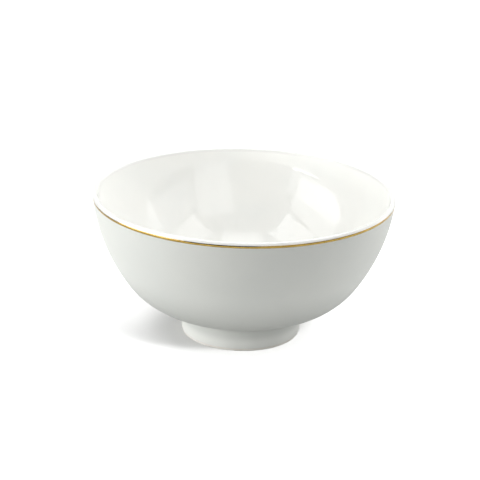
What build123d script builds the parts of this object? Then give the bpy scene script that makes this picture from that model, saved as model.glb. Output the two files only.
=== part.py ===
from build123d import *

import os
from math import atan2, cos, degrees, hypot, radians, sin, sqrt, tan

# A footed porcelain bowl with a gilt line under its lip.
#
# Frame: +Z up, origin at the centre of the plane the foot stands on, millimetres.
# The bowl is a solid of revolution, so every piece is a section in the XZ plane turned about Z.
#
# Pieces, from the clay outwards:
#   bowl_body        fired porcelain: base, wall and lip
#   foot_ring        fired porcelain: a ring made by itself and stuck under the bowl
#   foot_joint_slip  the porcelain slip that joins them, sponged to a fillet on both sides
#   liner_glaze      gloss glaze: the inside and over the lip
#   outer_glaze      satin glaze: the outer wall, the joint and the side of the foot
#   foot_well_glaze  gloss glaze: the hollow under the bowl, inside the foot
#   gold_band        burnished gold line, laid over the seam of the two outer coats

# ---------------------------------------------------------------- driving dimensions, mm and degrees

# Bowl, measured over the glaze
rim_diameter = 160.0
height = 78.4
lip_thickness = 2.8  # the lip is a full half round of this thickness
wall_lean = 6.4  # how far the wall leans out from upright just under the lip
wall_turn = 33.9  # how far it leans where its upper arc runs into its tighter lower arc
base_thickness = 4.0  # through the middle of the bowl
base_flat_inset = 3.0  # the underside is flat up to this far inside the foot's side

# Foot, measured over the glaze
foot_height = 14.3  # from the table to the underside of the bowl
foot_diameter = 64.0  # over its side, at the table
foot_side_draft = 1.5  # the side widens upwards by this angle
foot_wall_thickness = 4.6  # across the ring, at the table
foot_well_draft = 6.0  # the inside narrows upwards by this angle
foot_edge_radius = 0.7  # rounding of the bare edges that meet the table
joint_fillet_radius = 3.6  # outside, between the foot and the bowl
well_fillet_radius = 2.4  # inside, between the foot and the bowl

# Layers
slip_thickness = 0.4  # between the top of the foot ring and the bowl
glaze_thickness = 0.3
glaze_stop = 1.3  # height above the table where the glaze ends, to keep it off the kiln shelf
gold_thickness = 0.1
gold_rise = 0.1  # the gold's top edge, above the widest line of the lip
gold_drop = 1.15  # the gold's bottom edge, below that line


# ---------------------------------------------------------------- circles of the wall

lip_radius = lip_thickness / 2
lip_centre = (rim_diameter / 2 - lip_radius, height - lip_radius)
base_flat_radius = foot_diameter / 2 - base_flat_inset


def wall_radii(run, drop):
    """Radii of the two arcs that fall from the lip to the flat of the base.

    They go in by run and down by drop. An arc goes in by its radius times the change of cosine
    and down by its radius times the change of sine, which is one equation each way for the two
    radii."""
    upper_in = cos(radians(wall_lean)) - cos(radians(wall_turn))
    lower_in = cos(radians(wall_turn))
    upper_down = sin(radians(wall_turn)) - sin(radians(wall_lean))
    lower_down = 1 - sin(radians(wall_turn))
    scale = upper_in * lower_down - lower_in * upper_down
    upper = (run * lower_down - drop * lower_in) / scale
    lower = (drop * upper_in - run * upper_down) / scale
    return upper, lower


def wall_circles(base_z, side):
    """Centre and radius of a face's upper arc, then of its lower arc, which ends level at base_z.
    side is 1 for the outer face and -1 for the inner one: the arcs are worked out for the line
    through the lip's centre, which lies a lip's radius inside the one and outside the other."""
    run = lip_centre[0] - base_flat_radius
    drop = lip_centre[1] - (base_z + side * lip_radius)
    upper, lower = wall_radii(run, drop)
    upper_centre = (
        lip_centre[0] - upper * cos(radians(wall_lean)),
        lip_centre[1] + upper * sin(radians(wall_lean)),
    )
    lower_radius = lower + side * lip_radius
    lower_centre = (base_flat_radius, base_z + lower_radius)
    return upper_centre, upper + side * lip_radius, lower_centre, lower_radius


outer_centre, outer_radius, belly_centre, belly_radius = wall_circles(foot_height, 1)
floor_z = foot_height + base_thickness
inner_centre, inner_radius, bottom_centre, bottom_radius = wall_circles(floor_z, -1)


def on_circle(centre, radius, below):
    """The point of a circle that lies at an angle, in degrees, below level."""
    return (
        centre[0] + radius * cos(radians(below)),
        centre[1] - radius * sin(radians(below)),
    )


# ---------------------------------------------------------------- lines of the foot

foot_outer = (foot_diameter / 2, 0)
foot_inner = (foot_diameter / 2 - foot_wall_thickness, 0)


def foot_side(z, depth):
    """Radius of the foot's outer side at height z, at a depth under the finished surface."""
    return foot_outer[0] + z * tan(radians(foot_side_draft)) - depth / cos(radians(foot_side_draft))


def well_side(z, depth):
    """Radius of the foot's inner side at height z, at a depth under the finished surface."""
    return foot_inner[0] - z * tan(radians(foot_well_draft)) + depth / cos(radians(foot_well_draft))


def joint_fillet():
    """Centre of the outer fillet, which touches the foot's side and the belly of the wall.
    It lies on the side's line moved out by the fillet's radius, as far from the belly's centre as
    both radii together. Of the two such points it is the lower one."""
    up = (sin(radians(foot_side_draft)), cos(radians(foot_side_draft)))
    from_belly = (
        foot_side(0, -joint_fillet_radius) - belly_centre[0],
        -belly_centre[1],
    )
    along = from_belly[0] * up[0] + from_belly[1] * up[1]
    reach = belly_radius + joint_fillet_radius
    climb = -along - sqrt(along**2 - hypot(*from_belly) ** 2 + reach**2)
    return (
        belly_centre[0] + from_belly[0] + climb * up[0],
        belly_centre[1] + from_belly[1] + climb * up[1],
    )


joint_centre = joint_fillet()
joint_turn = degrees(atan2(belly_centre[1] - joint_centre[1], joint_centre[0] - belly_centre[0]))

# Inside the foot the fillet runs from the side into the flat underside.
well_centre_z = foot_height - well_fillet_radius
well_centre = (well_side(well_centre_z, -well_fillet_radius), well_centre_z)


def joint_end(depth):
    """Where the outer fillet ends on the foot's side, at a depth under the finished surface."""
    return on_circle(joint_centre, joint_fillet_radius + depth, 180 + foot_side_draft)


def well_fillet_end(depth):
    """Where the inner fillet ends on the foot's inner side, at a depth under the surface."""
    return on_circle(well_centre, well_fillet_radius + depth, -foot_well_draft)


# ---------------------------------------------------------------- lines that the sections share


def outer_wall_lines(depth, stop):
    """The outside of the wall, from the lip down to the angle stop below level on the belly."""
    CenterArc(outer_centre, outer_radius - depth, -wall_lean, wall_lean - wall_turn)
    CenterArc(belly_centre, belly_radius - depth, -wall_turn, wall_turn - stop)


def lip_line(depth):
    """Over the lip, from its outside to its inside."""
    CenterArc(lip_centre, lip_radius - depth, -wall_lean, 180)


def inner_wall_lines(depth):
    """The inside of the wall, from the lip to the flat of the base, and on to the axis."""
    CenterArc(inner_centre, inner_radius + depth, -wall_lean, wall_lean - wall_turn)
    CenterArc(bottom_centre, bottom_radius + depth, -wall_turn, wall_turn - 90)
    Line((base_flat_radius, floor_z - depth), (0, floor_z - depth))


def joint_line(depth):
    """The outer fillet, from the bowl's wall to the foot's side."""
    turn = joint_turn - foot_side_draft
    CenterArc(joint_centre, joint_fillet_radius + depth, 180 - joint_turn, turn)


def well_fillet_line(depth):
    """The inner fillet, from the foot's inner side to the underside of the bowl."""
    CenterArc(well_centre, well_fillet_radius + depth, foot_well_draft, 90 - foot_well_draft)


def seam_line():
    """The edge where the liner and the outer glaze meet, under the gold."""
    Line(
        on_circle(lip_centre, lip_radius, wall_lean),
        on_circle(lip_centre, lip_radius - glaze_thickness, wall_lean),
    )


clay = glaze_thickness  # the fired clay lies this far under the finished surface
underside = foot_height + clay  # of the clay, above the table
ring_top = underside - slip_thickness


# ---------------------------------------------------------------- fired clay

with BuildPart() as bowl_body:
    with BuildSketch(Plane.XZ):
        with BuildLine():
            outer_wall_lines(clay, 90)
            lip_line(clay)
            inner_wall_lines(clay)
            Polyline((0, floor_z - clay), (0, underside), (base_flat_radius, underside))
        make_face()
    revolve(axis=Axis.Z)
bowl_body.part.label = "bowl_body"

with BuildPart() as foot_ring:
    with BuildSketch(Plane.XZ):
        with BuildLine():
            Polyline(
                (foot_side(0, clay), 0),
                (foot_side(ring_top, clay), ring_top),
                (well_side(ring_top, clay), ring_top),
                (well_side(0, clay), 0),
                close=True,
            )
        ring_section = make_face()
        fillet(ring_section.vertices().group_by(Axis.Y)[0], foot_edge_radius)
    revolve(axis=Axis.Z)
foot_ring.part.label = "foot_ring"

with BuildPart() as foot_joint_slip:
    with BuildSketch(Plane.XZ):
        with BuildLine():
            joint_line(clay)
            CenterArc(belly_centre, belly_radius - clay, -90, 90 - joint_turn)
            Line((base_flat_radius, underside), (well_centre[0], underside))
            well_fillet_line(clay)
            Polyline(
                well_fillet_end(clay),
                (well_side(ring_top, clay), ring_top),
                (foot_side(ring_top, clay), ring_top),
                joint_end(clay),
            )
        make_face()
    revolve(axis=Axis.Z)
foot_joint_slip.part.label = "foot_joint_slip"

# ---------------------------------------------------------------- glaze

with BuildPart() as liner_glaze:
    with BuildSketch(Plane.XZ):
        with BuildLine():
            for depth in (0, clay):
                lip_line(depth)
                inner_wall_lines(depth)
            Line((0, floor_z), (0, floor_z - clay))
            seam_line()
        make_face()
    revolve(axis=Axis.Z)
liner_glaze.part.label = "liner_glaze"

with BuildPart() as outer_glaze:
    with BuildSketch(Plane.XZ):
        with BuildLine():
            seam_line()
            for depth in (0, clay):
                outer_wall_lines(depth, joint_turn)
                joint_line(depth)
                Line(joint_end(depth), (foot_side(glaze_stop, depth), glaze_stop))
            Line(
                (foot_side(glaze_stop, 0), glaze_stop),
                (foot_side(glaze_stop, clay), glaze_stop),
            )
        make_face()
    revolve(axis=Axis.Z)
outer_glaze.part.label = "outer_glaze"

with BuildPart() as foot_well_glaze:
    with BuildSketch(Plane.XZ):
        with BuildLine():
            for depth in (0, clay):
                Line((well_side(glaze_stop, depth), glaze_stop), well_fillet_end(depth))
                well_fillet_line(depth)
                Line((well_centre[0], foot_height + depth), (0, foot_height + depth))
            Line((0, foot_height), (0, underside))
            Line(
                (well_side(glaze_stop, 0), glaze_stop),
                (well_side(glaze_stop, clay), glaze_stop),
            )
        make_face()
    revolve(axis=Axis.Z)
foot_well_glaze.part.label = "foot_well_glaze"

# ---------------------------------------------------------------- gilding

# The gold starts just above the widest line of the lip, and follows the lip and then the wall.
gold_top = -degrees(gold_rise / lip_radius)
wall_share = gold_drop - lip_radius * radians(wall_lean)  # how much of the drop lies on the wall
gold_bottom = wall_lean + degrees(wall_share / outer_radius)

with BuildPart() as gold_band:
    with BuildSketch(Plane.XZ):
        with BuildLine():
            for lift in (0, gold_thickness):
                CenterArc(lip_centre, lip_radius + lift, -wall_lean, wall_lean - gold_top)
                CenterArc(outer_centre, outer_radius + lift, -gold_bottom, gold_bottom - wall_lean)
            Line(
                on_circle(lip_centre, lip_radius, gold_top),
                on_circle(lip_centre, lip_radius + gold_thickness, gold_top),
            )
            Line(
                on_circle(outer_centre, outer_radius, gold_bottom),
                on_circle(outer_centre, outer_radius + gold_thickness, gold_bottom),
            )
        make_face()
    revolve(axis=Axis.Z)
gold_band.part.label = "gold_band"

# ---------------------------------------------------------------- write the parts

os.makedirs("parts", exist_ok=True)
export_step(bowl_body.part, "parts/bowl_body.step")
export_step(foot_ring.part, "parts/foot_ring.step")
export_step(foot_joint_slip.part, "parts/foot_joint_slip.step")
export_step(liner_glaze.part, "parts/liner_glaze.step")
export_step(outer_glaze.part, "parts/outer_glaze.step")
export_step(foot_well_glaze.part, "parts/foot_well_glaze.step")
export_step(gold_band.part, "parts/gold_band.step")

print(f"outer face: arcs of {outer_radius:.1f} and {belly_radius:.1f} mm")
print(f"inner face: arcs of {inner_radius:.1f} and {bottom_radius:.1f} mm")
print(f"the foot's fillet starts {joint_end(0)[1]:.2f} mm above the table")
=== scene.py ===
# %% [markdown]
# # A footed porcelain bowl with a gold line
# The model of the bowl comes in first, as a fixed frame made of the clay, the slip, the coats of
# glaze and the gold. It says how big everything is and where it sits. This lesson then makes the
# surfaces that the eye sees: glaze that runs a little uneven over the clay, a gold line laid by
# hand on a turning wheel, and the bare sanded edge that the bowl stands on. The clay of the bowl
# itself and the slip under it stay as the frame has them, because glaze covers them.

# %% Load the frame
from math import ceil, cos, pi, radians, sin, sqrt, tan

import bpy
import numpy as np
from mathutils import Matrix, Vector


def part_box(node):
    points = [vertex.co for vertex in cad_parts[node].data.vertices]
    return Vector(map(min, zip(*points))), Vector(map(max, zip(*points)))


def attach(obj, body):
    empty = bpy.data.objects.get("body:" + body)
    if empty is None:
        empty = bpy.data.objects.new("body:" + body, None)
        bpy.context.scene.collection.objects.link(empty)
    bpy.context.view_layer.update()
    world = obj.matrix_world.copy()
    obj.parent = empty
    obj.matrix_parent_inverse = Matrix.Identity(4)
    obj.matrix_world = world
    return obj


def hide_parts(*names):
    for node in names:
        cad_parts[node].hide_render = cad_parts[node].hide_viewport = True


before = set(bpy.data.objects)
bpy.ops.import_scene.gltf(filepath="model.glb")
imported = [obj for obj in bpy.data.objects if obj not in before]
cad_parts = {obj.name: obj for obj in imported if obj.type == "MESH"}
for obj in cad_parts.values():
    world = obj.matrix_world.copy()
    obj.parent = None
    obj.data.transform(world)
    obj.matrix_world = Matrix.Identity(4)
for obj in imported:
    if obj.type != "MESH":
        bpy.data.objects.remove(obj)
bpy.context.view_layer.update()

MM = 0.001  # the section is written in millimetres, and the scene is in metres
print("frame:", sorted(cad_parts))

# %% [markdown]
# ## The section
# A bowl is turned on a wheel, so one drawing says everything: the section from the axis outwards.
# Each face of the wall is two arcs that run smoothly into each other, and the lip is a half round.
# The section could be a curve drawn by hand, but then nobody knows which way its skin faces. Worked
# out as arcs it gives each point together with its normal, which is what glaze needs to lie on, and
# it can be sampled as finely as the eye asks. The overall sizes come from the frame, and the sizes
# of the section are the ones that the frame was built from.

# %% Driving sizes of the section, in millimetres and degrees
liner_low, liner_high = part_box("liner_glaze")
rim_radius = (liner_high.x - liner_low.x) / 2 / MM
height = liner_high.z / MM
lip_radius = 1.4
wall_lean = 6.4  # the wall's face against upright, at the lip
wall_turn = 33.9  # and where its upper arc meets its lower one
base_thickness = 4.0
base_flat_radius = 29.0

foot_height = 14.3
foot_radius = 32.0
foot_wall = 4.6
foot_side_draft = 1.5
foot_well_draft = 6.0
foot_edge_radius = 0.7
joint_fillet_radius = 3.6
well_fillet_radius = 2.4

glaze = 0.3  # thickness of every coat of glaze
glaze_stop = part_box("outer_glaze")[0].z / MM
gold = 0.1
gold_rise = 0.1  # from the level of the lip's centre up to the gold's top edge
gold_drop = 1.15  # and down to its bottom edge
print(f"rim radius {rim_radius:.2f}, height {height:.2f}, glaze stops {glaze_stop:.2f} above the table")


# %% Arcs and lines, each point with its normal
SAME_POINT = 1e-4  # millimetres


def unit(degrees_up):
    """The direction at an angle above level, as (outwards, up). Takes an array of angles too."""
    angle = np.radians(degrees_up)
    return np.stack([np.cos(angle), np.sin(angle)], axis=-1)


def arc(centre, radius, start, stop, step=4.0, side=1):
    """Rows of (r, z, normal r, normal z) round a circle, from one angle above level to another:
    centre + radius * direction. The normal is the direction itself, or its opposite when side is
    -1, as on a hollow that is seen from its centre."""
    count = max(2, ceil(abs(stop - start) / step) + 1)
    way = unit(np.linspace(start, stop, count))
    return np.hstack([np.asarray(centre) + radius * way, side * way])


def line(start, stop, normal, count=2):
    """Rows of (r, z, normal r, normal z) along a straight line: start + (stop - start) * t."""
    t = np.linspace(0.0, 1.0, count)[:, None]
    points = np.asarray(start) + (np.asarray(stop) - np.asarray(start)) * t
    return np.hstack([points, np.broadcast_to(normal, (count, 2))])


def chain(*pieces):
    """Joins rows end to end, and drops the first row of each piece that repeats the last."""
    rows = [pieces[0]]
    for piece in pieces[1:]:
        repeats = np.hypot(*(piece[0, :2] - rows[-1][-1, :2])) < SAME_POINT
        rows.append(piece[1:] if repeats else piece)
    return np.vstack(rows)


def lengths(rows):
    """Distance of each point from the first, along the line."""
    steps = np.hypot(*np.diff(rows[:, :2], axis=0).T)
    return np.concatenate([[0.0], np.cumsum(steps)])


quarter = lengths(arc((0.0, 0.0), 10.0, 0.0, 90.0))[-1]
print(f"a quarter turn at a radius of 10 mm measures {quarter:.2f} mm, against {5 * pi:.2f}")


# %% The wall's circles
lip_centre = np.array([rim_radius - lip_radius, height - lip_radius])


def wall_circles(base_z, side):
    """Upper centre, upper radius, lower centre and lower radius of a face of the wall. Together
    the two arcs go in from the lip to the flat of the base, and down to it. An arc goes in by its
    radius times the change of cosine and down by its radius times the change of sine: two
    equations for the two radii. side is 1 for the outer face and -1 for the inner one."""
    lean, turn = unit(wall_lean), unit(wall_turn)
    changes = np.array([[lean[0] - turn[0], turn[0]], [turn[1] - lean[1], 1 - turn[1]]])
    run = lip_centre[0] - base_flat_radius
    drop = lip_centre[1] - (base_z + side * lip_radius)
    upper, lower = np.linalg.solve(changes, [run, drop])
    upper_centre = lip_centre - upper * unit(-wall_lean)
    lower_radius = lower + side * lip_radius
    lower_centre = np.array([base_flat_radius, base_z + lower_radius])
    return upper_centre, upper + side * lip_radius, lower_centre, lower_radius


floor_z = foot_height + base_thickness
outer_centre, outer_radius, belly_centre, belly_radius = wall_circles(foot_height, 1)
inner_centre, inner_radius, bottom_centre, bottom_radius = wall_circles(floor_z, -1)
print(f"outer face: arcs of {outer_radius:.1f} and {belly_radius:.1f} mm")
print(f"inner face: arcs of {inner_radius:.1f} and {bottom_radius:.1f} mm")


# %% The foot's sides and fillets
def foot_side(z, depth=0.0):
    """Point of the foot's outer side at height z, at a depth under the finished surface."""
    radius = foot_radius + z * tan(radians(foot_side_draft))
    return np.array([radius - depth / unit(foot_side_draft)[0], z])


def well_side(z, depth=0.0):
    """Point of the foot's inner side at height z, at a depth under the finished surface."""
    radius = foot_radius - foot_wall - z * tan(radians(foot_well_draft))
    return np.array([radius + depth / unit(foot_well_draft)[0], z])


def joint_fillet():
    """Centre of the outer fillet: on the foot's side moved out by the fillet's radius, and as far
    from the belly's centre as both radii together. Of the two such points it is the lower one."""
    up = unit(90 - foot_side_draft)
    from_belly = foot_side(0.0, -joint_fillet_radius) - belly_centre
    along = from_belly @ up
    reach = belly_radius + joint_fillet_radius
    climb = -along - sqrt(along**2 - from_belly @ from_belly + reach**2)
    return belly_centre + from_belly + climb * up


joint_centre = joint_fillet()
joint_way = joint_centre - belly_centre
joint_turn = float(np.degrees(np.arctan2(-joint_way[1], joint_way[0])))
well_centre = well_side(foot_height - well_fillet_radius, -well_fillet_radius)
print(f"the fillet leaves the wall {joint_turn:.1f} degrees below level")

# %% [markdown]
# ## Clay lines
# Glaze lies on clay, so each coat starts from the line of the clay under it. A Solidify modifier
# could thicken that line, but it can't end a coat or let it run uneven. Here a coat is the line and
# a thickness: the far side is the clay point plus the normal times the thickness. Near an end the
# thickness dies away as a quarter round, the way molten glass rolls back at its edge.

# %% Lines of the clay under each coat
WALL_STEP = 0.7  # degrees from point to point, which is about 1 mm on every arc of the wall
BELLY_STEP = 1.2
FILLET_STEP = 5.0
WELL_FILLET_STEP = 6.0
LIP_STEP = 7.5


def outer_clay():
    """From the seam under the gold, down the wall, round the fillet and down the foot's side."""
    fillet_radius = joint_fillet_radius + glaze
    fillet_stop = 180 - foot_side_draft
    return chain(
        arc(outer_centre, outer_radius - glaze, -wall_lean, -wall_turn, WALL_STEP),
        arc(belly_centre, belly_radius - glaze, -wall_turn, -joint_turn, BELLY_STEP),
        arc(joint_centre, fillet_radius, 180 - joint_turn, fillet_stop, FILLET_STEP, -1),
        line(
            joint_centre + fillet_radius * unit(fillet_stop),
            foot_side(glaze_stop, glaze),
            unit(-foot_side_draft),
            12,
        ),
    )


def liner_clay():
    """From the seam under the gold, over the lip, down the inside and along to the axis."""
    return chain(
        arc(lip_centre, lip_radius - glaze, -wall_lean, 180 - wall_lean, LIP_STEP),
        arc(inner_centre, inner_radius + glaze, -wall_lean, -wall_turn, WALL_STEP, -1),
        arc(bottom_centre, bottom_radius + glaze, -wall_turn, -90, BELLY_STEP, -1),
        line((base_flat_radius, floor_z - glaze), (0.0, floor_z - glaze), (0.0, 1.0), 16),
    )


def well_clay():
    """From the glaze's end inside the foot, up its side, round the fillet and to the axis."""
    fillet_radius = well_fillet_radius + glaze
    ceiling_z = foot_height + glaze
    return chain(
        line(
            well_side(glaze_stop, glaze),
            well_centre + fillet_radius * unit(foot_well_draft),
            unit(180 + foot_well_draft),
            10,
        ),
        arc(well_centre, fillet_radius, foot_well_draft, 90, WELL_FILLET_STEP, -1),
        line((well_centre[0], ceiling_z), (0.0, ceiling_z), (0.0, -1.0), 14),
    )


for title, rows in (("outer", outer_clay()), ("liner", liner_clay()), ("well", well_clay())):
    print(f"{title} clay: {len(rows)} points along {lengths(rows)[-1]:.1f} mm")

# %% [markdown]
# ## Turning a section
# A Screw modifier turns a section too, but every turn of it is the same, and a coat of glaze isn't
# quite the same all round. So the turning is done as one grid of numbers, with one row for each
# point of the section and one column for each angle. Every piece is a closed shell: the rows run
# along the outside and back along the inside. A row on the axis shrinks to a single point, and a
# fan of triangles closes the shell there.

# %% A mesh from points and corner numbers
CREASE = radians(40.0)  # edges that turn by more than this stay sharp


def shell_mesh(name, points, quads, fans, values):
    """A closed mesh, turned the right way out: the sum over its triangles of a . (b x c) is six
    times the volume, and where that is negative every face is flipped. Each point carries its
    value as the attribute "along", which the materials read."""
    triangles = np.vstack([quads[:, :3], quads[:, [0, 2, 3]], fans])
    a, b, c = (points[triangles[:, i]] for i in range(3))
    volume = np.einsum("ij,ij->", a, np.cross(b, c)) / 6
    if volume < 0:
        quads, fans = quads[:, ::-1], fans[:, ::-1]
    corners = np.concatenate([quads.ravel(), fans.ravel()]).astype(np.int32)
    sizes = np.concatenate([np.full(len(quads), 4), np.full(len(fans), 3)])
    mesh = bpy.data.meshes.new(name)
    mesh.vertices.add(len(points))
    mesh.vertices.foreach_set("co", points.astype(np.float32).ravel())
    mesh.loops.add(len(corners))
    mesh.loops.foreach_set("vertex_index", corners)
    mesh.polygons.add(len(sizes))
    mesh.polygons.foreach_set("loop_start", (np.cumsum(sizes) - sizes).astype(np.int32))
    mesh.update(calc_edges=True)
    along = mesh.attributes.new("along", "FLOAT", "POINT")
    along.data.foreach_set("value", values.astype(np.float32))
    mesh.shade_smooth()
    mesh.set_sharp_from_angle(angle=CREASE)
    piece = bpy.data.objects.new(name, mesh)
    bpy.context.scene.collection.objects.link(piece)
    print(f"{name}: {len(triangles)} triangles, {abs(volume) / MM**3:.0f} mm3")
    return piece


# %% A shell of revolution
ON_AXIS = 1e-6  # millimetres


def turned(name, r, z, along):
    """A shell turned about the axis: the point at a row and a column is
    (r cos angle, r sin angle, z). Where the first and last rows lie on the axis each becomes one
    point, and otherwise the last row joins on to the first."""
    rows, segments = r.shape
    angle = np.linspace(0.0, 2 * pi, segments, endpoint=False)
    grid = np.stack([r * np.cos(angle), r * np.sin(angle), z], axis=-1) * MM
    here = np.arange(segments)
    after = (here + 1) % segments
    along = np.repeat(along[:, None], segments, axis=1)
    if r[0].max() < ON_AXIS and r[-1].max() < ON_AXIS:
        ring = np.arange(rows - 3)[:, None] * segments
        next_ring = ring + segments
        points = np.vstack([grid[1:-1].reshape(-1, 3), grid[0, :1], grid[-1, :1]])
        values = np.concatenate([along[1:-1].ravel(), along[0, :1], along[-1, :1]])
        first_pole = (rows - 2) * segments
        last_ring = (rows - 3) * segments
        first_fan = np.stack([np.full(segments, first_pole), after, here], axis=-1)
        pole_column = np.full(segments, first_pole + 1)
        last_fan = np.stack([pole_column, last_ring + here, last_ring + after], axis=-1)
        fans = np.vstack([first_fan, last_fan])
    else:
        ring = np.arange(rows)[:, None] * segments
        next_ring = (ring + segments) % (rows * segments)
        points, values, fans = grid.reshape(-1, 3), along.ravel(), np.empty((0, 3), int)
    quads = np.stack([ring + here, ring + after, next_ring + after, next_ring + here], axis=-1)
    return shell_mesh(name, points, quads.reshape(-1, 4), fans, values)


# %% [markdown]
# ## Coats of glaze
# Glaze goes on by dipping or spraying and then melts, so its thickness wanders by a few hundredths
# of a millimetre over a hand's breadth. That is too little to see as shape, but a reflection shows
# it. A bump in the material could fake the wander, but not the way a coat ends in a rounded edge,
# so both are made as shape. The wander is a sum of a few slow waves round the bowl and down it.

# %% Uneven thickness and rounded ends
END_ROWS = 8  # points round the quarter turn where a coat ends


def wander(length, angle, seed, waves=5):
    """Slow unevenness between about -1 and 1: a sum of waves cos(k angle + length / span + phase),
    with whole numbers k so that it closes round the bowl, each weighted by 1 / k."""
    rng = np.random.default_rng(seed)
    k = np.arange(1, waves + 1)
    span = rng.uniform(12.0, 30.0, waves)
    phase = rng.uniform(0.0, 2 * pi, waves)
    wave = np.cos(k * angle[None, :, None] + length[:, None, None] / span + phase)
    return wave @ (1.0 / k) / (1.0 / k).sum()


def rounded_end(distance, thickness):
    """Share of the full thickness at a distance from a coat's end: a quarter round as deep as the
    coat is thick, sqrt(1 - (1 - distance / thickness)^2), and 1 beyond it."""
    t = np.clip(distance / thickness, 0.0, 1.0)
    return np.sqrt(1.0 - (1.0 - t) ** 2)


def with_fine_end(rows, thickness):
    """Adds rows within one thickness of the first row, spaced evenly round the quarter turn."""
    steps = thickness * (1.0 - np.cos(np.radians(np.linspace(0.0, 90.0, END_ROWS))))[1:]
    s = lengths(rows)
    places = np.unique(np.round(np.concatenate([s, steps]), 5))
    return np.stack([np.interp(places, s, rows[:, i]) for i in range(4)], axis=-1)


sample = wander(np.linspace(0.0, 80.0, 40), np.linspace(0.0, 2 * pi, 90), 3)
print(f"the wander runs from {sample.min():.2f} to {sample.max():.2f}")

# %% A coat of glaze on a line of clay
CALM_RADIUS = 12.0  # millimetres round the axis over which the unevenness fades out
CALM_END = 6.0  # and along the section from its first point


def coat(name, clay, uneven, seed, rounded, segments=384):
    """A closed coat of glaze: its outside is clay + normal * thickness, and its inside is the clay.
    uneven is the share of the thickness that wanders. A rounded coat dies away at its first row,
    and any other keeps its full thickness there and meets the coat beside it in a seam."""
    if rounded:
        clay = with_fine_end(clay, glaze)
    s = lengths(clay)
    angle = np.linspace(0.0, 2 * pi, segments, endpoint=False)
    share = rounded_end(s, glaze) if rounded else np.ones(len(s))
    calm = np.clip(clay[:, 0] / CALM_RADIUS, 0.0, 1.0) * np.clip(s / CALM_END, 0.0, 1.0)
    bulge = glaze * share[:, None] * (1.0 + uneven * calm[:, None] * wander(s, angle, seed))
    outside_r = clay[:, :1] + clay[:, 2:3] * bulge
    outside_z = clay[:, 1:2] + clay[:, 3:4] * bulge
    back = clay[::-1]
    if rounded:
        back = back[:-1]  # its end point is already the first point of the outside
    thin = np.ones(len(back), bool)
    thin[1:-1:2] = False  # the hidden side needs only every other row
    back = back[thin]
    inside_r = np.repeat(back[:, :1], segments, axis=1)
    inside_z = np.repeat(back[:, 1:2], segments, axis=1)
    r = np.vstack([outside_r, inside_r])
    z = np.vstack([outside_z, inside_z])
    along = np.concatenate([s, np.zeros(len(back))])
    if clay[-1, 0] < ON_AXIS:
        order = np.concatenate([np.arange(len(s), len(r)), np.arange(len(s))])
        r, z, along = r[order], z[order], along[order]
    return turned(name, r, z, along)


# %% The three coats
liner_coat = coat("liner_glaze_coat", liner_clay(), 0.04, 3, rounded=False)
outer_coat = coat("outer_glaze_coat", outer_clay()[::-1], 0.04, 8, rounded=True)
well_coat = coat("foot_well_glaze_coat", well_clay(), 0.08, 5, rounded=True, segments=192)

# %% [markdown]
# ## The gold line
# A gilder holds a loaded brush still against the lip while the bowl turns. The line lies over the
# seam between the gloss and the satin glaze. A stripe in the glaze's material would cost nothing,
# but real gold stands on the glaze, catches the light at its own edges and is a piece by itself. It
# is thickest in the middle and thins to nothing at its edges, and both edges waver by a few
# hundredths of a millimetre.

# %% Gold on the lip
BRUSH_RISE = 0.12  # millimetres that the brush reaches above the gold of the frame
BRUSH_STOP = 0.04  # and that it stops short of the frame's gold below
WAVER = 0.03  # millimetres that an edge of the line strays either way
EDGES_APART = 40.0  # far enough along the waves that the two edges stray by themselves
FILM = 0.004  # millimetres that even the edge stands above the glaze
TUCK = 0.02  # and that the underside is sunk into it


def gold_line(name, segments=512, across=14):
    """A lens of gold on the finished surface: share v runs from the top edge to the bottom edge,
    distance down the lip and the wall = top + v * (bottom - top), and the gold is thick as
    film + gold * (1 - (2 v - 1)^4). The edges move by a small wander with the angle. On the lip a
    distance is the angle times the lip's radius, and past the lip it follows the wall's arc."""
    angle = np.linspace(0.0, 2 * pi, segments, endpoint=False)
    lip_share = lip_radius * radians(wall_lean)
    waver = WAVER * wander(np.array([0.0, EDGES_APART]), angle, 12, waves=24)
    top = gold_rise + BRUSH_RISE - waver[0]
    bottom = -(gold_drop - BRUSH_STOP) - waver[1]
    v = np.linspace(0.0, 1.0, across)[:, None]
    down = -(top + (bottom - top) * v)
    on_lip = down <= lip_share
    lip_angle = np.degrees(down / lip_radius)
    wall_angle = wall_lean + np.degrees((down - lip_share) / outer_radius)
    below = np.where(on_lip, lip_angle, wall_angle)
    centre = np.where(on_lip[..., None], lip_centre, outer_centre)
    radius = np.where(on_lip, lip_radius, outer_radius)
    way = unit(-below)
    lens = gold * (1.0 - (2 * v - 1) ** 4) + FILM
    surface = centre + (radius + lens)[..., None] * way
    under = (centre + (radius - TUCK)[..., None] * way)[::-1]
    r = np.vstack([surface[..., 0], under[..., 0]])
    z = np.vstack([surface[..., 1], under[..., 1]])
    along = np.concatenate([v[:, 0], v[::-1, 0]])
    return turned(name, r, z, along)


gold_piece = gold_line("gold_band_line")

# %% [markdown]
# ## The bare foot
# Glaze would stick the bowl to the kiln shelf, so the end of the foot is wiped clean before the
# firing and sanded smooth after it. The frame's own ring could be shown as it is, but its edges are
# cut into a few flats. The ring is made again here from the same sizes, with edges rounded finely
# enough to hold a thin, unbroken line of light.

# %% The foot ring
EDGE_STEP = 9.0  # degrees from point to point round its edges


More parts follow.
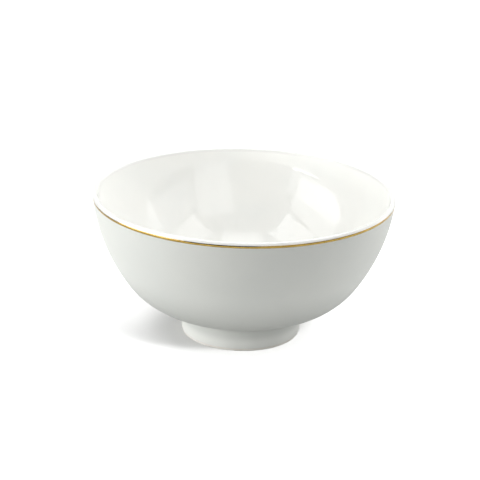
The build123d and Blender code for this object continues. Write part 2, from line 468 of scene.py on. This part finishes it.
def foot_piece(name, segments=256):
    """A closed ring: round the outer edge at the table, across its ground end, round the inner edge,
    up the inner side, across the top and down the outer side, both sides under their glaze. Each
    edge is an arc that is tangent to its side and to the table."""
    ring_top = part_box("foot_ring")[1].z / MM
    edge = foot_edge_radius
    outer_edge = np.array([foot_side(edge, glaze + edge)[0], edge])
    inner_edge = np.array([well_side(edge, glaze + edge)[0], edge])
    rows = chain(
        arc(outer_edge, edge, -foot_side_draft, -90, EDGE_STEP),
        line((outer_edge[0], 0.0), (inner_edge[0], 0.0), (0.0, -1.0), 8),
        arc(inner_edge, edge, -90, -180 + foot_well_draft, EDGE_STEP),
        line(
            inner_edge + edge * unit(180 + foot_well_draft),
            well_side(ring_top, glaze),
            unit(180 + foot_well_draft),
            6,
        ),
        line(well_side(ring_top, glaze), foot_side(ring_top, glaze), (0.0, 1.0), 6),
        line(
            foot_side(ring_top, glaze),
            outer_edge + edge * unit(-foot_side_draft),
            unit(-foot_side_draft),
            6,
        ),
    )[:-1]
    r = np.repeat(rows[:, :1], segments, axis=1)
    z = np.repeat(rows[:, 1:2], segments, axis=1)
    return turned(name, r, z, np.zeros(len(rows)))


foot = foot_piece("foot_ring_bare")

# %% [markdown]
# ## Riding on the frame
# Nothing moves on a bowl, so every piece rides on the one body. Each piece stands for a node of the
# frame, which stays there unseen for collision and weight. The frame could be hidden by hand, but
# said this way the two are tied together, and the piece is measured against its node at once.

# %% Say what each piece stands for
for piece, node, slot in (
    (liner_coat, "liner_glaze", "gloss_glaze"),
    (outer_coat, "outer_glaze", "satin_glaze"),
    (well_coat, "foot_well_glaze", "gloss_glaze"),
    (gold_piece, "gold_band", "gold"),
    (foot, "foot_ring", "porcelain"),
):
    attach(piece, "root")
    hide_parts(node)
    low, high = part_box(node)
    points = np.empty(len(piece.data.vertices) * 3)
    piece.data.vertices.foreach_get("co", points)
    points = points.reshape(-1, 3)
    below, above = points.min(0) - np.array(low), points.max(0) - np.array(high)
    off = max(np.abs(below).max(), np.abs(above).max())
    print(f"{piece.name}: within {off / MM:.3f} mm of {node}")

# %% [markdown]
# ## Shader maths
# A pattern is arithmetic on the place of a point. Drawn as nodes by hand it soon becomes a tangle,
# and as a long list of links it can't be read. Wrapping a socket in a small class lets it be written
# as arithmetic: each operator adds the Math node that does it. One more class holds the material
# being built, and a single method of it adds any other node.


# %% A value on its way through a material
class Value:
    """A socket that can be added, taken away, multiplied, raised to a power and ramped."""

    def __init__(self, paint, socket):
        self.paint, self.socket = paint, socket

    def maths(self, operation, first, second):
        """A Math node on two values, either of which may be a plain number."""
        return self.paint.node("ShaderNodeMath", {"operation": operation}, {0: first, 1: second})

    def __add__(self, other):
        return self.maths("ADD", self, other)

    def __sub__(self, other):
        return self.maths("SUBTRACT", self, other)

    def __rsub__(self, other):
        return self.maths("SUBTRACT", other, self)

    def __mul__(self, other):
        return self.maths("MULTIPLY", self, other)

    def __pow__(self, other):
        return self.maths("POWER", self, other)

    __radd__ = __add__
    __rmul__ = __mul__

    def ramp(self, start, stop):
        """0 up to start, 1 from stop on, and smooth between."""
        settings = {"interpolation_type": "SMOOTHSTEP"}
        return self.paint.node("ShaderNodeMapRange", settings, {0: self, 1: start, 2: stop})


# %% A material being built
class Paint:
    """A material: its shader with the constants given, and one method for every other node."""

    def __init__(self, name, **constants):
        self.material = bpy.data.materials.new(name)
        self.material.use_nodes = True
        self.tree = self.material.node_tree
        self.shader = self.tree.nodes["Principled BSDF"]
        for socket, value in constants.items():
            self.shader.inputs[socket.replace("_", " ")].default_value = value

    def node(self, kind, settings=None, inputs=None, output=0):
        """Adds a node, gives it its settings, then the values or links of its sockets."""
        made = self.tree.nodes.new(kind)
        for key, value in (settings or {}).items():
            setattr(made, key, value)
        for key, value in (inputs or {}).items():
            self.feed(made.inputs[key], value)
        return Value(self, made.outputs[output])

    def feed(self, socket, value):
        """Links a value to a socket, or sets the socket to a plain number or colour."""
        if isinstance(value, Value):
            self.tree.links.new(value.socket, socket)
        else:
            socket.default_value = value

    def shade(self, socket, value):
        """Feeds one socket of the shader."""
        self.feed(self.shader.inputs[socket], value)

    def place(self):
        """The point in the object's own coordinates, in metres."""
        return self.node("ShaderNodeTexCoord", output="Object")

    def along(self):
        """The distance or share that the mesh carries along its section."""
        return self.node("ShaderNodeAttribute", {"attribute_name": "along"}, output="Fac")

    def height(self, place):
        """How high a point is above the table."""
        return self.node("ShaderNodeSeparateXYZ", inputs={0: place}, output=2)

    def stretched(self, vector, across, up):
        """A point whose sides are scaled by across and whose height is scaled by up."""
        sockets = {0: vector, 1: (across, across, up)}
        return self.node("ShaderNodeVectorMath", {"operation": "MULTIPLY"}, sockets)

    def noise(self, vector, scale, detail=2.0):
        """Cloudy unevenness between 0 and 1, with about scale patches to the metre."""
        sockets = {"Vector": vector, "Scale": scale, "Detail": detail}
        return self.node("ShaderNodeTexNoise", inputs=sockets, output="Fac")

    def mixed(self, factor, first, second):
        """A colour between two, by a factor from 0 to 1."""
        sockets = {"Factor": factor, 6: first, 7: second}
        return self.node("ShaderNodeMix", {"data_type": "RGBA"}, sockets, 2)

    def bump(self, height, distance):
        """A normal tilted by a height that is worth distance metres where it is 1."""
        sockets = {"Height": height, "Distance": distance}
        return self.node("ShaderNodeBump", inputs=sockets, output="Normal")


# %% Colours, and putting a material on
def colour(red, green, blue):
    """An opaque colour, in linear light."""
    return (red, green, blue, 1.0)


def wear(piece, paint):
    """Puts a material on a piece in place of any other."""
    piece.data.materials.clear()
    piece.data.materials.append(paint.material)
    print(f"{piece.name} wears {paint.material.name}, {len(paint.tree.nodes)} nodes")


# %% [markdown]
# ## Gloss glaze
# The inside, the lip and the well under the foot carry a clear glaze over white clay. It is glass:
# smooth, with a sharp reflection, and with a skin that undulates over a few millimetres like the
# peel of an orange. Real glass over a real white would be slow to render and no truer, because the
# clay under it is matt and the coat is thin, so one shader with the gloss of glass over a white
# base does both. The white is not quite even, because the glass is thicker in some places than in
# others. It turns a shade warmer where the coat thins out at its end, and it is painted a duller grey
# over the lip, as painted shade that draws a grey line along the rim's edge.

# %% Gloss glaze
GLASS_IOR = 1.52
CLOUD_SCALE = 38.0  # patches of about 25 mm
SMEAR_SCALE = 420.0  # patches of about 2 mm that are less and more smooth
PEEL_SCALE = 260.0  # ripples of about 4 mm
FINE_PEEL_SCALE = 900.0
FINE_PEEL_SHARE = 0.25
PEEL_DEPTH = 0.012 * MM
LIP_FADE = 1.5  # millimetres over which the lip's painted shade fades out, on the inside

inside_white, inside_cool = colour(0.88, 0.88, 0.85), colour(0.86, 0.865, 0.84)
well_white, well_cool = colour(0.82, 0.82, 0.79), colour(0.77, 0.79, 0.77)
thin_gloss_warm = colour(0.80, 0.77, 0.71)
# a duller grey painted over the lip as shade, for the grey line along the rim's edge
lip_painted_shade = colour(0.79, 0.79, 0.765)


def gloss_glaze(name, white, cool, lip=0.0):
    """White clay under clear glass, between two whites. lip is the share of the painted shade over the
    lip.
    """
    paint = Paint(name, IOR=GLASS_IOR)
    place = paint.place()
    pooling = paint.noise(place, CLOUD_SCALE, 3.0).ramp(0.35, 0.72)
    thin = 1.0 - paint.along().ramp(0.0, 1.5 * glaze)
    body = paint.mixed(0.4 * thin, paint.mixed(pooling, white, cool), thin_gloss_warm)
    lip_end = pi * lip_radius
    # painted shade over the lip, fading out on the inside
    lip_shade_share = 1.0 - paint.along().ramp(lip_end - LIP_FADE, lip_end)
    paint.shade("Base Color", paint.mixed(lip * lip_shade_share, body, lip_painted_shade))
    paint.shade("Roughness", 0.03 + 0.03 * paint.noise(place, SMEAR_SCALE))
    fine_peel = FINE_PEEL_SHARE * paint.noise(place, FINE_PEEL_SCALE, 1.0)
    paint.shade("Normal", paint.bump(paint.noise(place, PEEL_SCALE, 1.0) + fine_peel, PEEL_DEPTH))
    return paint


wear(liner_coat, gloss_glaze("gloss_glaze_inside", inside_white, inside_cool, lip=1.0))
wear(well_coat, gloss_glaze("gloss_glaze_foot_well", well_white, well_cool))

# %% [markdown]
# ## Satin glaze
# The outside has a soft sheen instead of a mirror. The glaze holds fine crystals that scatter the
# light, so it is rougher, greyer than the inside, and its grain is far below what a finger can feel.
# One even grey would look like plastic. The colour is painted deeper low on the wall, as painted shade
# where the belly turns down to the table, and painted lighter on the foot, as painted light where it
# faces the bright table. Both follow the height above the table, which the material reads from the
# place of each point.

# %% Satin glaze
GRAIN_SCALE = 2600.0  # grains of about 0.4 mm
RIPPLE_SCALE = 330.0  # ripples of about 3 mm
SATIN_CLOUD_SCALE = 30.0
SATIN_DEPTH = 0.010 * MM
SHADE_TOP, SHADE_FULL = 46.0 * MM, 18.0 * MM  # painted shade darkens the wall from one height down to the other,
SHADE_STOP, SHADE_FOOT = 15.0 * MM, 9.0 * MM  # and fades out again below the joint with the foot
FOOT_LIGHT_TOP, FOOT_LIGHT_FULL = 9.5 * MM, 4.0 * MM  # and from here down the foot is painted lighter, as painted light

satin_white, satin_cool = colour(0.625, 0.638, 0.603), colour(0.603, 0.619, 0.588)
# the deeper grey is painted shade for the lower wall
satin_painted_shade = colour(0.450, 0.462, 0.436)
# the lighter colour is painted light for the foot
satin_painted_light = colour(0.770, 0.780, 0.745)
thin_satin_warm = colour(0.62, 0.60, 0.55)


def satin_glaze(name):
    """A grey-white with a soft sheen, with painted shade that darkens the lower wall and painted light
    that lightens the foot.
    """
    paint = Paint(name, IOR=1.5, Specular_IOR_Level=0.34)
    place = paint.place()
    clouds = paint.noise(place, SATIN_CLOUD_SCALE, 3.0)
    body = paint.mixed(clouds.ramp(0.3, 0.75), satin_white, satin_cool)
    height_here = paint.height(place)
    # painted shade: the wall is painted darker from high on it down to the joint with the foot, and not
    # below
    run = (1.0 - height_here.ramp(SHADE_FULL, SHADE_TOP)) * height_here.ramp(SHADE_FOOT, SHADE_STOP)
    body = paint.mixed(run, body, satin_painted_shade)
    # painted light: the foot is painted lighter from here down
    painted_foot_light = 1.0 - height_here.ramp(FOOT_LIGHT_FULL, FOOT_LIGHT_TOP)
    body = paint.mixed(painted_foot_light, body, satin_painted_light)
    thin = 1.0 - paint.along().ramp(0.0, 2.0 * glaze)
    paint.shade("Base Color", paint.mixed(0.5 * thin, body, thin_satin_warm))
    grain = paint.noise(place, GRAIN_SCALE)
    paint.shade("Roughness", 0.38 + 0.08 * grain + 0.04 * clouds)
    ripple = paint.noise(place, RIPPLE_SCALE, 1.0)
    paint.shade("Normal", paint.bump(grain + 1.5 * ripple, SATIN_DEPTH))
    return paint


wear(outer_coat, satin_glaze("satin_glaze_outside"))

# %% [markdown]
# ## Gold
# The line is real gold, painted on as a liquid and fired until only a film of metal is left. A metal
# has no colour of its own but that of its reflections, so it needs something dark to reflect as well
# as something bright. The brush runs round the lip, so its strokes are long and level: the pattern
# is squeezed up and down and drawn out round the bowl. The film is thinner at both edges and looks
# browner there.

# %% Burnished gold
STROKE_ACROSS = 70.0  # strokes of about 14 mm round the bowl
STROKE_UP = 9000.0  # and about 0.1 mm up and down
GOLD_CLOUD_SCALE = 160.0
STROKE_DEPTH = 0.006 * MM

gold_deep = colour(0.34, 0.22, 0.055)
gold_bright = colour(0.55, 0.385, 0.11)
gold_thin = colour(0.28, 0.17, 0.04)


def burnished_gold(name):
    """Metal between two golds, along the strokes of the brush, and browner at its two edges."""
    paint = Paint(name, Metallic=1.0)
    place = paint.place()
    strokes = paint.noise(paint.stretched(place, STROKE_ACROSS, STROKE_UP), 1.0, 3.0)
    clouds = paint.noise(place, GOLD_CLOUD_SCALE, 3.0)
    metal = paint.mixed((0.5 * strokes + 0.5 * clouds).ramp(0.3, 0.7), gold_deep, gold_bright)
    edge = (2.0 * paint.along() - 1.0) ** 4
    paint.shade("Base Color", paint.mixed(0.6 * edge, metal, gold_thin))
    paint.shade("Roughness", 0.06 + 0.08 * strokes)
    paint.shade("Normal", paint.bump(strokes, STROKE_DEPTH))
    return paint


wear(gold_piece, burnished_gold("burnished_gold"))

# %% [markdown]
# ## Bare porcelain
# The sanded ring under the foot is fired clay with no glass on it: matt, very slightly gritty, and
# white with a little dust in its pores. Where the glaze stops, the firing leaves a faint warm line.
# The clay and the slip that the frame keeps under the glaze wear the same finish, so that each
# piece is right by itself too.

# %% Bare porcelain
GRIT_SCALE = 3800.0  # grit of about a quarter of a millimetre
GRIT_DEPTH = 0.03 * MM
DUST_SCALE = 210.0  # patches of about 5 mm

clay_white, clay_dusty = colour(0.84, 0.83, 0.79), colour(0.76, 0.74, 0.69)
kiln_flash = colour(0.76, 0.66, 0.54)


def bare_porcelain(name):
    """Matt white clay, dusty in patches, and warmer from the ground edge up to the glaze."""
    paint = Paint(name, IOR=1.5, Specular_IOR_Level=0.35)
    place = paint.place()
    grit = paint.noise(place, GRIT_SCALE, 3.0)
    dust = paint.noise(place, DUST_SCALE, 3.0)
    body = paint.mixed(dust.ramp(0.35, 0.75), clay_white, clay_dusty)
    near_glaze = paint.height(place).ramp(foot_edge_radius * MM, glaze_stop * MM) * (0.2 + 0.4 * dust)
    paint.shade("Base Color", paint.mixed(near_glaze, body, kiln_flash))
    paint.shade("Roughness", 0.62 + 0.2 * grit)
    paint.shade("Normal", paint.bump(grit, GRIT_DEPTH))
    return paint


porcelain_paint = bare_porcelain("bare_porcelain")
wear(foot, porcelain_paint)
for node in ("bowl_body", "foot_ring", "foot_joint_slip"):
    wear(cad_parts[node], porcelain_paint)

# %% [markdown]
# ## The table
# A plain white table, far wider than anything that the camera sees. White ware on a white table
# soaks up so much light from below that its shape is lost. A grey table would keep the shape, but
# it would look grey itself. So the table is made twice, a hair apart. The upper one is what the eye
# sees. The lower one can't be seen, and gives the bowl only as much light as shapes it well. A black
# card on it draws the dark line in the gold.


# %% A level rectangle
def flat_piece(name, low, high, z, paint):
    """A level rectangle from one corner to the other, (x, y) each, at height z."""
    corners = [(low[0], low[1], z), (high[0], low[1], z), (high[0], high[1], z), (low[0], high[1], z)]
    mesh = bpy.data.meshes.new(name)
    mesh.from_pydata(corners, [], [(0, 1, 2, 3)])
    piece = bpy.data.objects.new(name, mesh)
    bpy.context.scene.collection.objects.link(piece)
    wear(piece, paint)
    print(f"{name}: {high[0] - low[0]:.1f} x {high[1] - low[1]:.1f} m")
    return piece


# %% The table that is seen
HALF_TABLE = 4.0
MATT = {"Roughness": 0.9, "Specular_IOR_Level": 0.1}
table_low, table_high = (-HALF_TABLE, -HALF_TABLE), (HALF_TABLE, HALF_TABLE)
table_white = Paint("table_white", Base_Color=colour(0.8, 0.8, 0.8), **MATT)
table = flat_piece("table", table_low, table_high, 0.0, table_white)
table.visible_diffuse = False
table.visible_glossy = False
table.visible_shadow = False

# %% The table that the bowl sees, and the card on it
HAIR = 0.0005
CARD_LOW, CARD_HIGH = (-1.2, -1.6), (1.2, -0.24)  # it starts three rim radii from the axis
bounce = flat_piece("table_bounce", table_low, table_high, -2.0 * HAIR, table_white)
bounce.visible_camera = False
card_black = Paint("card_black", Base_Color=colour(0.03, 0.03, 0.03), **MATT)
card = flat_piece("card_in_front", CARD_LOW, CARD_HIGH, -HAIR, card_black)
card.visible_camera = False
card.visible_shadow = False

# %% [markdown]
# ## The lights
# White glazed ware is lit by its surroundings. An even white sky would do that at once, and leave
# the bowl with no shape, so the studio is a ring of soft panels with a dark gap for the camera. The
# bright wide panels on the left shape the outside from light to grey. Higher panels draw soft
# shapes inside the bowl, and the ones behind and overhead fill it with light.

# %% A soft panel
AIM = Vector((0.0, 0.0, 0.04))  # about the middle of the bowl


def facing(around, above, distance, aim):
    """The matrix of a light that faces aim. around is its angle from the camera's side towards the
    right, and above is its angle over the table: the place is the aim plus the distance times
    (sin around cos above, -cos around cos above, sin above)."""
    a, b = radians(around), radians(above)
    way = Vector((sin(a) * cos(b), -cos(a) * cos(b), sin(b)))
    turn = (-way).to_track_quat("-Z", "Y").to_matrix().to_4x4()
    return Matrix.Translation(aim + distance * way) @ turn


def panel(name, around, above, width, height, watts, distance=1.0):
    """A rectangle of light that faces the middle of the bowl, a metre off unless told otherwise."""
    light = bpy.data.lights.new(name, "AREA")
    light.shape = "RECTANGLE"
    light.size, light.size_y = width, height
    light.energy = watts
    lamp = bpy.data.objects.new(name, light)
    lamp.matrix_world = facing(around, above, distance, AIM)
    lamp.visible_camera = False
    bpy.context.scene.collection.objects.link(lamp)
    print(f"{name}: {watts} W over {width} x {height} m, {around} degrees round, {above} up")
    return lamp


# %% The ring of panels
panel("left_strip", -70, 2.5, 1.06, 0.16, 4.1)
panel("left_wide", -69, 11.5, 1.09, 0.44, 2.0)
panel("left_middle", -75, 22, 0.94, 0.43, 2.7)
panel("left_high", -66, 48, 0.60, 0.43, 2.6)
panel("front_right", 28.5, 21, 0.55, 0.69, 1.75)
panel("front_top", 0, 72, 0.52, 0.43, 1.6)
panel("right_middle", 74, 24, 0.89, 0.35, 0.9)
panel("right_high", 74, 48, 0.65, 0.43, 2.1)
panel("right_rear", 111, 15, 0.67, 0.54, 1.8)
panel("right_back", 130, 17.5, 0.69, 0.44, 1.5)
panel("right_back_high", 127.5, 50, 0.82, 0.57, 1.2)
panel("back_wide", 180, 18, 1.10, 0.57, 1.8)
panel("back_high", 180, 45, 0.52, 0.54, 4.8)
panel("overhead", 180, 85, 1.30, 1.10, 2.2, 1.07)

# %% [markdown]
# ## Lights for the table alone
# The table should be white all round, with one soft shadow that creeps out to the left of the
# foot. Light linking lets a lamp shine on chosen objects only. A wash from straight above whitens
# the far table, a spot brightens the ground in front, and two panels trim the shadow from both
# sides: the low one on the right, and the high one on the left, whose light the belly holds back
# from the ground beside the foot.


# %% A lamp that isn't a panel
def lamp_of(name, kind, strength, place, **settings):
    """A lamp of a kind, such as SUN or SPOT, at a place, with its settings."""
    light = bpy.data.lights.new(name, kind)
    light.energy = strength
    for key, value in settings.items():
        setattr(light, key, value)
    lamp = bpy.data.objects.new(name, light)
    lamp.matrix_world = place
    bpy.context.scene.collection.objects.link(lamp)
    print(f"{name}: {kind}, strength {strength}")
    return lamp


# %% Lights for the table alone
table_fill = panel("table_fill", 70, 14, 0.50, 0.22, 5.5)
table_left = panel("table_left", -80, 60, 0.35, 0.35, 3.5)
before_the_foot = Vector((0.015, -0.045, 0.0))
spot_settings = {"spot_size": radians(19.0), "spot_blend": 1.0, "shadow_soft_size": 0.08}
table_spot = lamp_of("table_spot", "SPOT", 40.0, facing(35, 38, 1.0, before_the_foot), **spot_settings)
table_wash = lamp_of("table_wash", "SUN", 3.0, facing(0, 90, 1.0, AIM), angle=radians(20.0))

only_table = bpy.data.collections.new("only_table")
only_table.objects.link(table)
table_lamps = (table_fill, table_left, table_spot, table_wash)
for lamp in table_lamps:
    lamp.light_linking.receiver_collection = only_table
print("lights for the table alone:", len(table_lamps))

# %% [markdown]
# ## The camera
# A short lens close by would stretch the near side of the rim. A long one, about ten rim radii away
# and looking down by twenty degrees, keeps the rim a calm ellipse. The camera leans by a degree and
# a half, as a hand-levelled one does.

# %% The camera
BACK, UP = 9.5, 4.1393  # in rim radii, from the middle of the bowl's foot
TILT_DOWN = 0.3534  # radians, as the next two are
TURN_LEFT = 0.0020
LEAN = 0.0260
SENSOR, LENS = 36.0, 113.58  # millimetres
camera_data = bpy.data.cameras.new("camera")
camera_data.sensor_width = SENSOR
camera_data.lens = LENS
camera = bpy.data.objects.new("camera", camera_data)
camera_at = Vector((0.0, -BACK, UP)) * rim_radius * MM
turned_left = Matrix.Rotation(TURN_LEFT, 4, "Z")
tilted_down = Matrix.Rotation(pi / 2 - TILT_DOWN, 4, "X")
leaning = Matrix.Rotation(LEAN, 4, "Z")
camera.matrix_world = Matrix.Translation(camera_at) @ turned_left @ tilted_down @ leaning
bpy.context.scene.collection.objects.link(camera)
bpy.context.scene.camera = camera
bpy.context.scene.view_settings.view_transform = "Standard"
print("camera at", [round(value, 3) for value in camera_at])
